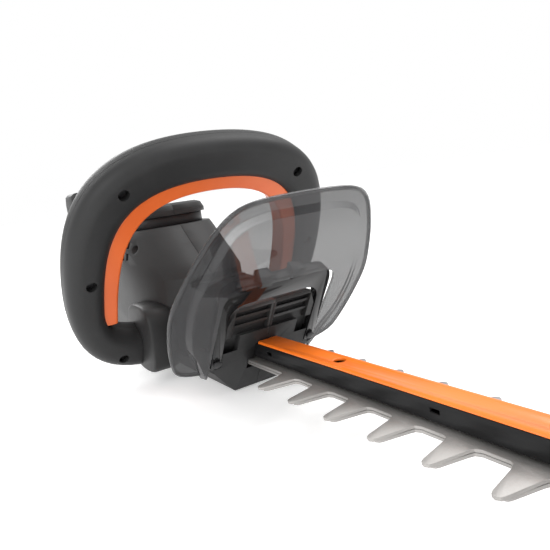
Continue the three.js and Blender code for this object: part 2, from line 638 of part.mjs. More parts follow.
// beside the boss that holds the rail, the front face steps back
const shoulderCuts = [-1, 1].map((side) => sidePlate(
  [
    [frontX(NOSE_BOTTOM_Z) - 5, NOSE_BOTTOM_Z + 2], [frontX(50) + 8, 50.1], [frontX(50) - POCKET_DEPTH, 50.1],
    [frontX(NOSE_BOTTOM_Z) - POCKET_DEPTH - 1.5, NOSE_BOTTOM_Z + 2],
  ],
  side > 0 ? 24 : -NOSE_HALF - 1, side > 0 ? NOSE_HALF + 1 : -24,
));
const VENT_FRONT_X = -142;
const VENT_PITCH = 8;
const vents = [];
for (let row = 0; row < 2; row += 1) {
  for (let n = 0; n < 4; n += 1) {
    const x = VENT_FRONT_X - n * VENT_PITCH;
    const z = 101 + row * 10;
    vents.push(box(x, x + 4, -HUMP_HALF_WIDTH - 3, HUMP_HALF_WIDTH + 3, z, z + 6));
  }
}
const topHole = plate(oval(CAP_X, 0, CAP_HALF_LENGTH - 12, CAP_HALF_WIDTH - 12, 3, 20), HUMP_TOP_Z - 6, HUMP_TOP_Z + 4);

// trigger and lock button openings
const TRIGGER_X = -262;
const TRIGGER_Z = GRIP_BOTTOM_Z + 17;
const TRIGGER_LENGTH = 40;
const TRIGGER_HALF = 8;
const triggerSlot = box(
  TRIGGER_X - TRIGGER_LENGTH - 2, TRIGGER_X + 6, -TRIGGER_HALF - 0.6, TRIGGER_HALF + 0.6,
  GRIP_BOTTOM_Z - 30, GRIP_BOTTOM_Z + 16,
);
const triggerPivot = [TRIGGER_X - 2, TRIGGER_Z - 7];
const PIN_R = 1.5;
const PIN_HALF = GRIP_HALF - 1;
const pinBore = crossPost(...triggerPivot, -PIN_HALF - CLEAR, PIN_HALF + CLEAR, PIN_R + CLEAR, 10);
const BUTTON_X = -268;
const BUTTON_HALF = 7;
const buttonTopZ = HUMP_TOP_Z + 22;
const buttonSlot = box(
  BUTTON_X - 11 - CLEAR, BUTTON_X + 11 + CLEAR, -BUTTON_HALF - CLEAR, BUTTON_HALF + CLEAR, buttonTopZ - 8, TAIL_TOP_Z + 4,
);
// battery slide: a dovetail channel in the tail's back
const dovetail = (gap) => [
  [TAIL_BACK_X - 2, DOVETAIL_HALF - DOVETAIL_FLARE + gap], [TAIL_BACK_X, DOVETAIL_HALF - DOVETAIL_FLARE + gap],
  [TAIL_BACK_X + DOVETAIL_DEPTH + gap - CLEAR, DOVETAIL_HALF + gap],
];
const channel = plate(
  [...dovetail(2 * CLEAR), ...dovetail(2 * CLEAR).reverse().map(([x, y]) => [x, -y])],
  BATTERY_BOTTOM_Z - 1, TAIL_TOP_Z + 4,
);
const channelWall = box(
  TAIL_BACK_X, TAIL_BACK_X + DOVETAIL_DEPTH + 3, -DOVETAIL_HALF - 4, DOVETAIL_HALF + 4, TAIL_BOTTOM_Z + 1, TAIL_TOP_Z - 3,
);

// the gear case's bottom plate closes a hole in the underside
const soleHole = box(SOLE.x0 - CLEAR, SOLE.x1 + CLEAR, -SOLE.half - CLEAR, SOLE.half + CLEAR, -1, WALL + 1);

// screws that join the halves, driven from the right
const housingScrews = [[-130, 110], [-72, 68], [-222, 104], [-300, 29], [-356, 150]];
const SCREW_R = 1.8;
const SCREW_HEAD_R = 3.4;
const screwDepths = [30, 20, 12, 8, 20];
const recesses = housingScrews.map(([x, z], i) => crossPost(
  x, z, -HUMP_HALF_WIDTH - 4, -screwDepths[i] + 4, SCREW_HEAD_R + CLEAR, 12,
));
const screwBores = housingScrews.map(([x, z], i) => crossPost(x, z, -screwDepths[i] - 2, 10, SCREW_R + CLEAR, 8));
const outerBosses = union(
  ...housingScrews.map(([x, z]) => crossPost(x, z, -HUMP_HALF_WIDTH, HUMP_HALF_WIDTH, 6, 12)),
).intersect(outerForm);

const shell = cut(
  union(
    cut(outerForm, hollow),
    outerBosses,
    channelWall,
  ),
  pocket, ...shoulderCuts,
);
const bossAroundRail = box(RAIL_BACK_X + 60, frontX(49) + 4, -24, 24, NOSE_BOTTOM_Z + 4, 49.5).intersect(bodyForm(0));
const housing = cut(
  union(shell, pocketRibs.intersect(bodyForm(0)), bossAroundRail),
  bladeSlot, railSlot, ...vents, topHole, triggerSlot, buttonSlot, channel, pinBore, soleHole, ...recesses, ...screwBores,
);
const halfSpace = (side) => box(-600, 200, side > 0 ? CLEAR / 2 : -100, side > 0 ? 100 : -CLEAR / 2, -10, 300);

// clearances for what passes through the shell
const gearRoom = union(
  post(CRANK_X, 0, GEAR_Z - 2, GEAR_Z + GEAR_THICK + 2, gearPitchR + 3, 24),
  box(CRANK_X - caseHalfX - 1, CRANK_X + caseHalfX + 1, -caseHalfY - CLEAR, caseHalfY + CLEAR, 12, 34),
);
// lugs behind the feet of the guard's frame
const lugX = (z) => frontX(z) - (FRAME_DEPTH + CLEAR) / Math.cos(FRONT_LEAN);
const frameLugs = [-1, 1].map((side) => {
  const outline = [[lugX(28) , 28], [lugX(40), 40], [lugX(40) - 16, 40], [lugX(28) - 16, 28]];
  return sidePlate(outline, side > 0 ? NOSE_HALF - 2 : -FRAME_OUTER, side > 0 ? FRAME_OUTER : -NOSE_HALF + 2);
});
const lugTurn = new THREE.Matrix4().makeRotationY(FRONT_LEAN);
const lugBores = [-1, 1].map((side) => {
  const geometry = new THREE.CylinderGeometry(SCREW_R + CLEAR, SCREW_R + CLEAR, 40, 8);
  geometry.rotateZ(HALF_PI);
  geometry.translate(-10, side * FRAME_SCREW_Y, FRAME_SCREW_S);
  geometry.applyMatrix4(lugTurn);
  return solidOf(geometry, at(FRONT_X0, 0, 0));
});
for (const [name, side] of [["housing_right", -1], ["housing_left", 1]]) {
  const half = cut(union(housing, ...frameLugs), gearRoom, ...lugBores).intersect(halfSpace(side));
  addPart(name, half, "dark_plastic");
}

// ---------------------------------------------------------------- band and top cap
const bandZ = HUMP_TOP_Z + CLEAR;
const band = plate(
  oval(CAP_X, 0, CAP_HALF_LENGTH - 3, CAP_HALF_WIDTH - 3), bandZ, bandZ + BAND_HEIGHT,
  [oval(CAP_X, 0, CAP_HALF_LENGTH - 7, CAP_HALF_WIDTH - 7).reverse()],
);
addPart("vent_band", band, "black_plastic");
const lidZ = bandZ + BAND_HEIGHT + CLEAR;
function lidForm(inset) {
  const lower = plate(
    oval(CAP_X, 0, CAP_HALF_LENGTH - inset, CAP_HALF_WIDTH - inset), inset ? lidZ - 1 : lidZ, lidZ + 4 - inset / 2,
  );
  const rim = new THREE.ExtrudeGeometry(polygon(oval(0, 0, CAP_HALF_LENGTH - 7 - inset, CAP_HALF_WIDTH - 7 - inset)), {
    depth: 0.4,
    bevelEnabled: true,
    bevelThickness: 6,
    bevelSize: 7,
    bevelSegments: 2,
  });
  return union(lower, solidOf(rim, at(CAP_X, 0, lidZ + CAP_HEIGHT - 6.4 - inset)).intersect(
    box(-300, 0, -100, 100, inset ? lidZ - 1 : lidZ, lidZ + CAP_HEIGHT - inset),
  ));
}
const lid = cut(lidForm(0), lidForm(2.4));
addPart("top_cap_right", lid.intersect(halfSpace(-1)), "dark_plastic");
addPart("top_cap_left", lid.intersect(halfSpace(1)), "dark_plastic");

housingScrews.forEach(([x, z], i) => {
  const y = -screwDepths[i];
  const head = crossPost(x, z, y + 1, y + 3.6, SCREW_HEAD_R, 12);
  const shank = crossPost(x, z, y + 3, 8, SCREW_R, 8);
  addPart("housing_screw_" + (i + 1), union(head, shank), "black_screw");
});

// ---------------------------------------------------------------- electronics
const boardBase = box(-62, -22, -20, 20, 52, 53.6);
const capacitors = [-54, -40].map((x) => post(x, 8, 53, 66, 6, 12));
addPart("control_board", union(boardBase, ...capacitors, box(-38, -26, -16, -2, 53, 60)), "board_green");
addPart("bail_switch", box(-136, -118, -33, -21, 60, 76), "black_plastic");
addPart("trigger_switch", box(-338, -310, -7, 7, 136, 152), "black_plastic");
addPart(
  "contact_block",
  box(TAIL_BACK_X + DOVETAIL_DEPTH + 4, TAIL_BACK_X + DOVETAIL_DEPTH + 14, -16, 16, 60, 96),
  "black_plastic",
);

// ---------------------------------------------------------------- trigger and lock button
const triggerShape = [
  [TRIGGER_X + 4, TRIGGER_Z - 4], [TRIGGER_X + 2, TRIGGER_Z - 13], [TRIGGER_X - 8, TRIGGER_Z - 27],
  [TRIGGER_X - 20, TRIGGER_Z - 31], [TRIGGER_X - 34, TRIGGER_Z - 27], [TRIGGER_X - TRIGGER_LENGTH, TRIGGER_Z - 12],
  [TRIGGER_X - 24, TRIGGER_Z - 10], [TRIGGER_X - 4, TRIGGER_Z - 4],
];
const triggerSolid = cut(
  sidePlate(triggerShape, -TRIGGER_HALF, TRIGGER_HALF),
  pinBore,
);
addPart("trigger", triggerSolid, "black_plastic");
addPart(
  "trigger_pin",
  crossPost(...triggerPivot, -PIN_HALF, PIN_HALF, PIN_R, 10),
  "bright_steel",
);
const buttonBody = union(
  box(BUTTON_X - 11, BUTTON_X + 11, -BUTTON_HALF, BUTTON_HALF, buttonTopZ - 2, buttonTopZ + 8.5),
);
addPart("lock_button", buttonBody, "orange_plastic");

// ---------------------------------------------------------------- battery
const batteryX = TAIL_BACK_X - CLEAR;
const caseOuter = box(
  batteryX - BATTERY_DEPTH, batteryX, -BATTERY_HALF, BATTERY_HALF, BATTERY_BOTTOM_Z, BATTERY_BOTTOM_Z + BATTERY_HEIGHT,
);
const cornerCuts = [-1, 1].map((side) => {
  const outline = [
    [batteryX - BATTERY_DEPTH - 1, side * (BATTERY_HALF - 7)], [batteryX - BATTERY_DEPTH + 6, side * (BATTERY_HALF + 1)],
    [batteryX - BATTERY_DEPTH - 1, side * (BATTERY_HALF + 1)],
  ];
  return plate(side > 0 ? outline : outline.reverse(), 0, 200);
});
const tongue = plate(
  [...dovetail(0), ...dovetail(0).reverse().map(([x, y]) => [x, -y])],
  BATTERY_BOTTOM_Z, BATTERY_BOTTOM_Z + TONGUE_LENGTH,
);
const cellRoom = box(
  batteryX - BATTERY_DEPTH + CASE_WALL, batteryX - CASE_WALL, -BATTERY_HALF + CASE_WALL, BATTERY_HALF - CASE_WALL,
  BATTERY_BOTTOM_Z - 1,
  BATTERY_BOTTOM_Z + BATTERY_HEIGHT - 16,
);
const latchRoom = box(
  batteryX - BATTERY_DEPTH + 4, batteryX - 14, -14, 14, BATTERY_BOTTOM_Z + BATTERY_HEIGHT - 12,
  BATTERY_BOTTOM_Z + BATTERY_HEIGHT + 4,
);
addPart("battery_case", cut(union(caseOuter, tongue), cellRoom, latchRoom, ...cornerCuts), "black_plastic");
const baseInset = CASE_WALL + CLEAR + 0.1;
addPart(
  "battery_base",
  box(
    batteryX - BATTERY_DEPTH + baseInset, batteryX - baseInset, -BATTERY_HALF + baseInset, BATTERY_HALF - baseInset,
    BATTERY_BOTTOM_Z, BATTERY_BOTTOM_Z + 3,
  ),
  "dark_plastic",
);
const cellX = batteryX - BATTERY_DEPTH / 2;
const lastColumn = (Math.floor((2 * (BATTERY_HALF - CASE_WALL)) / CELL_PITCH) - 1) / 2;
const cells = [];
for (let column = -lastColumn; column <= lastColumn; column += 1) {
  for (const row of [-0.5, 0.5]) {
    if (Math.abs(column) < lastColumn || row > 0) {
      const x = cellX + row * 16;
      cells.push(post(x, column * CELL_PITCH, BATTERY_BOTTOM_Z + 6, BATTERY_BOTTOM_Z + 74, CELL_R, 12));
    }
  }
}
const holderHalf = lastColumn * CELL_PITCH + 4.9;
addPart("cell_pack", union(...cells, box(
  cellX - 14, cellX + 14, -holderHalf, holderHalf, BATTERY_BOTTOM_Z + 72, BATTERY_BOTTOM_Z + 78,
)), "frame_plastic");
addPart(
  "battery_latch",
  box(
    batteryX - BATTERY_DEPTH + 4 + CLEAR, batteryX - 14 - CLEAR, -14 + CLEAR, 14 - CLEAR,
    BATTERY_BOTTOM_Z + BATTERY_HEIGHT - 6, BATTERY_BOTTOM_Z + BATTERY_HEIGHT + 2.5,
  ),
  "orange_plastic",
);

// ---------------------------------------------------------------- loop handle
const loopGroup = new THREE.Group();
loopGroup.position.set(LOOP_X0, 0, 0);
loopGroup.rotation.y = LOOP_LEAN;
object.add(loopGroup);

// A curve across Y, from the lower end on the left, over the top, to the right.
// legs gives the half-width at the sides, top the height, foot the height of the lower end.
function archCurve(legs, top, foot, corner = INNER_CORNER) {
  const side = new THREE.CubicBezierCurve(
    new THREE.Vector2(legs, foot),
    new THREE.Vector2(legs, foot + (top - foot) * corner[0]),
    new THREE.Vector2(legs * corner[1], top),
    new THREE.Vector2(0, top),
  ).getPoints(12).map((p) => [p.x, p.y]);
  return [...side, ...side.slice(0, -1).reverse().map(([y, z]) => [-y, z])];
}
function lowerCurve(inner, outer, mid, low, count = 7) {
  return new THREE.CubicBezierCurve(
    new THREE.Vector2(inner, low),
    new THREE.Vector2(inner + (outer - inner) * 0.75, low),
    new THREE.Vector2(outer, mid - (mid - low) * 0.6),
    new THREE.Vector2(outer, mid),
  ).getPoints(count).map((p) => [p.x, p.y]);
}
const LEG_CUT = 40; // the outline starts here and is trimmed at the collar
function loopOutline() {
  const outerFoot = lowerCurve(LEG_CUT, LOOP_OUTER, LOOP_OUTER_FOOT, LOOP_LOW).slice(0, -1);
  const innerFoot = lowerCurve(LEG_CUT, LOOP_INNER, LOOP_INNER_FOOT, LOOP_LOW + LEG_WIDTH).slice(0, -1);
  const flip = (points) => points.map(([y, z]) => [-y, z]);
  const outer = [
    ...outerFoot, ...archCurve(LOOP_OUTER, LOOP_TOP, LOOP_OUTER_FOOT, OUTER_CORNER), ...flip(outerFoot).reverse(),
  ];
  const inner = [
    ...innerFoot, ...archCurve(LOOP_INNER, LOOP_INNER_TOP, LOOP_INNER_FOOT), ...flip(innerFoot).reverse(),
  ];
  return [...outer, ...inner.reverse()];
}

// The loop as a rounded bar; inset takes the hollow inside it.
function loopForm(inset) {
  const geometry = new THREE.ExtrudeGeometry(polygon(loopOutline()), {
    depth: 2 * (LOOP_DEPTH_HALF - LOOP_ROUND),
    bevelEnabled: true,
    bevelThickness: LOOP_ROUND - inset,
    bevelSize: LOOP_ROUND - inset,
    bevelOffset: -LOOP_ROUND,
    bevelSegments: inset ? 2 : 3,
  });
  geometry.translate(0, 0, -(LOOP_DEPTH_HALF - LOOP_ROUND));
  geometry.rotateY(HALF_PI);
  geometry.rotateX(HALF_PI);
  return solidOf(geometry);
}
const trim = box(-60, 60, -COLLAR_FACE - CLEAR, COLLAR_FACE + CLEAR, -20, LOOP_INNER_FOOT - 8);

// A strip that follows the inside of the loop, between two distances from its inner edge.
function bailStrip(sunk, proud, foot, depthHalf, lift = 0) {
  const outer = archCurve(LOOP_INNER + sunk, LOOP_INNER_TOP + sunk, foot);
  const inner = archCurve(LOOP_INNER - proud, LOOP_INNER_TOP - proud, foot);
  return facePlate([...outer, ...inner.reverse()].map(([y, z]) => [y, z + lift]), -depthHalf, depthHalf);
}
const bailRoom = union(...[0, BAIL_TRAVEL / 2, BAIL_TRAVEL].map((lift) => bailStrip(
  BAIL_SUNK + 2 * CLEAR, BAIL_PROUD + 1, BAIL_END - 1, BAIL_HALF + 2 * CLEAR, lift,
)));
const loopScrews = LOOP_SCREWS.flatMap(([y, s]) => [[y, s], [-y, s]]);
const loopBosses = union(...loopScrews.map(([y, s]) => longPost(y, s, -LOOP_DEPTH_HALF, LOOP_DEPTH_HALF, 6.5, 12)));
const loopBores = loopScrews.flatMap(([y, s]) => [
  longPost(y, s, LOOP_SCREW_SEAT, LOOP_DEPTH_HALF + 5, LOOP_SCREW_HEAD_R + CLEAR, 12),
  longPost(y, s, -LOOP_DEPTH_HALF + 5, LOOP_SCREW_SEAT + 1, SCREW_R + CLEAR, 8),
]);
const loopOuter = loopForm(0);
const loopSolid = cut(
  union(cut(loopOuter, loopForm(TUBE_WALL)), loopBosses.intersect(loopOuter)),
  trim, bailRoom, ...loopBores,
);
addPart("loop_handle_front", loopSolid.intersect(box(CLEAR / 2, 60, -200, 200, -20, 300)), "dark_plastic", loopGroup);
addPart("loop_handle_rear", loopSolid.intersect(box(-60, -CLEAR / 2, -200, 200, -20, 300)), "dark_plastic", loopGroup);
loopScrews.forEach(([y, s], i) => {
  const head = longPost(y, s, LOOP_SCREW_SEAT + CLEAR, LOOP_SCREW_SEAT + 2.6, LOOP_SCREW_HEAD_R, 12);
  const shank = longPost(y, s, -LOOP_DEPTH_HALF + 6, LOOP_SCREW_SEAT + 1, SCREW_R, 8);
  addPart("loop_screw_" + (i + 1), union(head, shank), "black_screw", loopGroup);
});
addPart("safety_bail", bailStrip(BAIL_SUNK, BAIL_PROUD, BAIL_END, BAIL_HALF), "orange_plastic", loopGroup);

// collars that join the loop's legs to the body
const bodyWithGap = bodyForm(-CLEAR);
for (const [name, side] of [["collar_right", -1], ["collar_left", 1]]) {
  const rim = new THREE.ExtrudeGeometry(polygon(oval(0, 0, COLLAR_R, COLLAR_R, 3, 28)), {
    depth: COLLAR_FACE - 40,
    bevelEnabled: true,
    bevelThickness: 3,
    bevelSize: 3,
    bevelOffset: -3,
    bevelSegments: 2,
  });
  rim.rotateX(side > 0 ? -HALF_PI : HALF_PI);
  const disc = solidOf(rim, at(COLLAR_X, side * 37, COLLAR_Z));
  addPart(name, disc.subtract(bodyWithGap), "dark_plastic");
}

// ---------------------------------------------------------------- guard and its frame
const frameGroup = new THREE.Group();
frameGroup.position.set(FRONT_X0, 0, 0);
frameGroup.rotation.y = FRONT_LEAN;
object.add(frameGroup);
const FRAME_CORNER = 16;
// One side of an arch: a straight leg and a rounded corner.
function frameArch(half, top, foot = FRAME_FOOT) {
  const corner = new THREE.CubicBezierCurve(
    new THREE.Vector2(half, top - FRAME_CORNER),
    new THREE.Vector2(half, top - 3),
    new THREE.Vector2(half - 5, top),
    new THREE.Vector2(half - FRAME_CORNER, top),
  ).getPoints(6);
  return [[half, foot], ...corner.map((p) => [p.x, p.y])];
}
const archLine = (half, top, foot) => mirrored(frameArch(half, top, foot));
const frameClips = (gap) => [-13, 13].map((y) => box(
  -FRAME_DEPTH - gap, 2 + gap, y - 5 - gap, y + 5 + gap, FRAME_TOP - 4, FRAME_TOP + 5 + gap,
));
const frameBody = facePlate(
  [...archLine(FRAME_OUTER, FRAME_TOP), ...archLine(FRAME_INNER, FRAME_INNER_TOP).reverse()], -FRAME_DEPTH, 0.5,
);
const frameBores = [-1, 1].map((side) => longPost(side * FRAME_SCREW_Y, FRAME_SCREW_S, -30, 5, SCREW_R + CLEAR, 8));
addPart("guard_frame", cut(union(frameBody, ...frameClips(0)), ...frameBores), "frame_plastic", frameGroup);
[-1, 1].forEach((side, i) => {
  const y = side * FRAME_SCREW_Y;
  const head = longPost(y, FRAME_SCREW_S, 0.5 + CLEAR, 2.4, 3.2, 12);
  const shank = longPost(y, FRAME_SCREW_S, -16, 1.5, SCREW_R, 8);
  addPart("frame_screw_" + (i + 1), union(head, shank), "black_screw", frameGroup);
});

const guardGroup = new THREE.Group();
guardGroup.position.set(GUARD_X0, 0, 0);
guardGroup.rotation.y = GUARD_LEAN;
object.add(guardGroup);
// Half-widths and heights of the shield's edge and of its raised middle.
const shieldHalf = new THREE.SplineCurve(SHIELD_EDGE.map(([y, s]) => new THREE.Vector2(y, s)));
const raisedHalf = new THREE.SplineCurve(RAISED_EDGE.map(([y, s]) => new THREE.Vector2(y, s)));
const ring = (curve, count) => mirrored(curve.getPoints(count).map((p) => [p.x, p.y]).slice(0, -1).concat([[0.01, curve.points.at(-1).y]]));
const shield = facePlate(ring(shieldHalf, 18), 0, GUARD_THICK);
const raised = facePlate(ring(raisedHalf, 14), 0, GUARD_STEP + GUARD_THICK);
const shrink = 1 - GUARD_THICK / SHIELD_EDGE[3][0];
const raisedRoom = facePlate(
  ring(raisedHalf, 14).map(([y, s]) => [y * shrink, s > 60 ? (s - 60) * shrink + 60 : s - 20]), -1, GUARD_STEP,
);
// the arch-shaped gap that the frame fills, and the slots for its clips
const frameRoom = union(
  facePlate(archLine(FRAME_OUTER + 2 * CLEAR, FRAME_TOP + 2 * CLEAR, 0), -25, 25),
  ...frameClips(CLEAR),
);
for (const group of [frameGroup, guardGroup]) {
  group.updateMatrix();
}
const toGuard = guardGroup.matrix.clone().invert().multiply(frameGroup.matrix);
const notch = solidOf(geometryOf(frameRoom), toGuard);
addPart("guard", cut(union(shield, raised), raisedRoom, notch), "smoked_plastic", guardGroup);

export default object;
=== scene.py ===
# %% [markdown]
# # A cordless hedge trimmer
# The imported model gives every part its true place. This lesson dresses it: first the camera and the
# light, then the finishes, then the pieces whose surface needs more than the plain model has.
# %% Load the frame
import json
import math
import bmesh
import bpy
from mathutils import Matrix, Vector
from mathutils.geometry import interpolate_bezier


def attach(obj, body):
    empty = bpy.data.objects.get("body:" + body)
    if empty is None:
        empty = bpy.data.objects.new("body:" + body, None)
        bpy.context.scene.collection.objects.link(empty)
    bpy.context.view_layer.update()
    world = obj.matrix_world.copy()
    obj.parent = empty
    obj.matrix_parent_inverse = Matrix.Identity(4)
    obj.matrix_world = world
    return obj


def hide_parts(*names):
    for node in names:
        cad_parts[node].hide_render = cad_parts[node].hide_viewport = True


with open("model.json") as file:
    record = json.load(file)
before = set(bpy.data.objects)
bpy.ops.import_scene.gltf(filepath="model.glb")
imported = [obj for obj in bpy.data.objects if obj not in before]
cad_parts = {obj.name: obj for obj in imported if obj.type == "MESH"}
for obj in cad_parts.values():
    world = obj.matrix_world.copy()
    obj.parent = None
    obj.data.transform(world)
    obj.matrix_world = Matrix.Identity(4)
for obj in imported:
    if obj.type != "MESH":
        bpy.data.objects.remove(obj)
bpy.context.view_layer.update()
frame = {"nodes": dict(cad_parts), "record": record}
nodes = frame["nodes"]
scene = bpy.context.scene
MM = 0.001
print("nodes:", len(nodes))

# %% [markdown]
# ## Camera
# The tool is seen from its front right, a little above, with the camera leaning to one side. The
# camera's own axes are written down as unit vectors: to its right, up, and backwards.
# %% Camera
CAMERA_PLACE = Vector((0.40038, -0.18861, 0.14805))
CAMERA_RIGHT = (0.5301, 0.8353, -0.1457)
CAMERA_UP = (-0.0600, 0.2084, 0.9762)
CAMERA_BACK = (0.8458, -0.5087, 0.1606)
camera_data = bpy.data.cameras.new("camera")
camera_data.lens = 36.29
camera_data.sensor_width = 36.0
camera = bpy.data.objects.new("camera", camera_data)
turn = Matrix((CAMERA_RIGHT, CAMERA_UP, CAMERA_BACK)).transposed()
camera.matrix_world = Matrix.Translation(CAMERA_PLACE) @ turn.to_4x4()
scene.collection.objects.link(camera)
scene.camera = camera
print("lens", camera_data.lens)

# %% [markdown]
# ## Floor and light
# A white sweep of floor and three large soft lamps give the even look of a product picture. Large
# lamps make long, soft highlights on satin plastic, which show its curves best.
# %% Floor
def plain_material(name, color, roughness, glow):
    made = bpy.data.materials.new(name)
    made.use_nodes = True
    shader = made.node_tree.nodes["Principled BSDF"]
    shader.inputs["Base Color"].default_value = (*color, 1)
    shader.inputs["Roughness"].default_value = roughness
    shader.inputs["Emission Color"].default_value = (1, 1, 1, 1)
    shader.inputs["Emission Strength"].default_value = glow
    return made


floor_mesh = bmesh.new()
bmesh.ops.create_grid(floor_mesh, x_segments=1, y_segments=1, size=40)
bmesh.ops.translate(floor_mesh, verts=floor_mesh.verts, vec=(0, 0, -0.001))
floor_data = bpy.data.meshes.new("floor")
floor_mesh.to_mesh(floor_data)
floor = bpy.data.objects.new("floor", floor_data)
floor.data.materials.append(plain_material("floor", (0.9, 0.9, 0.9), 0.8, 0.3))
scene.collection.objects.link(floor)

# %% [markdown]
# Three square lamps light it from the left, the right and behind, and a plain white world fills in
# the rest. The Standard view keeps the whites white.
# %% Lights
def soft_lamp(name, place, target, size, watts):
    data = bpy.data.lights.new(name, "AREA")
    data.shape = "SQUARE"
    data.size = size
    data.energy = watts
    lamp = bpy.data.objects.new(name, data)
    aim = Vector(target) - Vector(place)
    lamp.matrix_world = Matrix.Translation(place) @ aim.to_track_quat("-Z", "Y").to_matrix().to_4x4()
    scene.collection.objects.link(lamp)
    return lamp


soft_lamp("key", (0.2, 0.9, 1.6), (0.0, 0, 0.08), 1.2, 22)
soft_lamp("side", (0.9, -1.3, 0.9), (0.1, 0, 0.08), 1.2, 14)
soft_lamp("rear", (-1.3, -0.2, 0.9), (-0.1, 0, 0.1), 0.8, 12)
world = bpy.data.worlds.new("studio")
world.use_nodes = True
world.node_tree.nodes["Background"].inputs["Color"].default_value = (1, 1, 1, 1)
world.node_tree.nodes["Background"].inputs["Strength"].default_value = 1.0
scene.world = world
scene.view_settings.view_transform = "Standard"

# %% [markdown]
# ## Effects that several finishes share
# Moulded plastic, coated steel and bright steel all have a fine grain and a slow change of tone, and
# all collect dust and rubbed spots. Each effect is built once as a node group, with named sockets,
# and each material sets its own values.
# %% Group tools
def new_group(name, inputs, outputs):
    group = bpy.data.node_groups.new(name, "ShaderNodeTree")
    for socket_name, kind, value in inputs:
        socket = group.interface.new_socket(socket_name, in_out="INPUT", socket_type=kind)
        if value is not None:
            socket.default_value = value
    for socket_name, kind in outputs:
        group.interface.new_socket(socket_name, in_out="OUTPUT", socket_type=kind)
    enter = group.nodes.new("NodeGroupInput")
    leave = group.nodes.new("NodeGroupOutput")
    return group, enter, leave


def place_node(tree, kind, inputs=None, **settings):
    """A new node, with its settings and with each named input set to a value or linked to a socket."""
    node = tree.nodes.new(kind)
    for key, value in settings.items():
        setattr(node, key, value)
    for key, value in (inputs or {}).items():
        if isinstance(value, bpy.types.NodeSocket):
            tree.links.new(value, node.inputs[key])
        else:
            node.inputs[key].default_value = value
    return node


FLOAT = "NodeSocketFloat"
VECTOR = "NodeSocketVector"

# %% [markdown]
# The first group is the texture of a mould: two sizes of noise. Height is the finer one and feeds a
# Bump node, and Tone is the slower one and varies the colour.
# %% Grain
grain, enter, leave = new_group(
    "moulded_grain",
    [("Vector", VECTOR, None), ("Scale", FLOAT, 900.0), ("Mottle", FLOAT, 14.0)],
    [("Height", FLOAT), ("Tone", FLOAT)],
)
fine = place_node(grain, "ShaderNodeTexNoise", {
    "Vector": enter.outputs["Vector"], "Scale": enter.outputs["Scale"],
    "Detail": 2.0, "Roughness": 0.6,
})
slow = place_node(grain, "ShaderNodeTexNoise", {
    "Vector": enter.outputs["Vector"], "Scale": enter.outputs["Mottle"],
    "Detail": 5.0, "Roughness": 0.55,
})
grain.links.new(fine.outputs["Fac"], leave.inputs["Height"])
grain.links.new(slow.outputs["Fac"], leave.inputs["Tone"])

# %% [markdown]
# The second group gives two masks. Wear is high in scattered patches of a noise, and Dust is high in
# the same patches on faces that look up.
# %% Rubbed and dusty areas
wear, enter, leave = new_group(
    "wear_and_dust",
    [("Vector", VECTOR, None), ("Scale", FLOAT, 30.0), ("Amount", FLOAT, 0.5)],
    [("Wear", FLOAT), ("Dust", FLOAT)],
)
patches = place_node(wear, "ShaderNodeTexNoise", {
    "Vector": enter.outputs["Vector"], "Scale": enter.outputs["Scale"], "Detail": 6.0, "Roughness": 0.7,
})
speck = place_node(wear, "ShaderNodeMapRange", {
    "Value": patches.outputs["Fac"], "From Min": 0.52, "From Max": 0.78,
    "To Max": enter.outputs["Amount"],
})
facing = place_node(wear, "ShaderNodeNewGeometry")
split = place_node(wear, "ShaderNodeSeparateXYZ", {"Vector": facing.outputs["Normal"]})
upward = place_node(wear, "ShaderNodeMapRange", {
    "Value": split.outputs["Z"], "From Min": 0.4, "From Max": 1.0, "To Max": enter.outputs["Amount"],
})
settled = place_node(wear, "ShaderNodeMath", {
    0: upward.outputs["Result"], 1: patches.outputs["Fac"],
}, operation="MULTIPLY")
wear.links.new(speck.outputs["Result"], leave.inputs["Wear"])
wear.links.new(settled.outputs["Value"], leave.inputs["Dust"])
print("groups:", [g.name for g in bpy.data.node_groups])

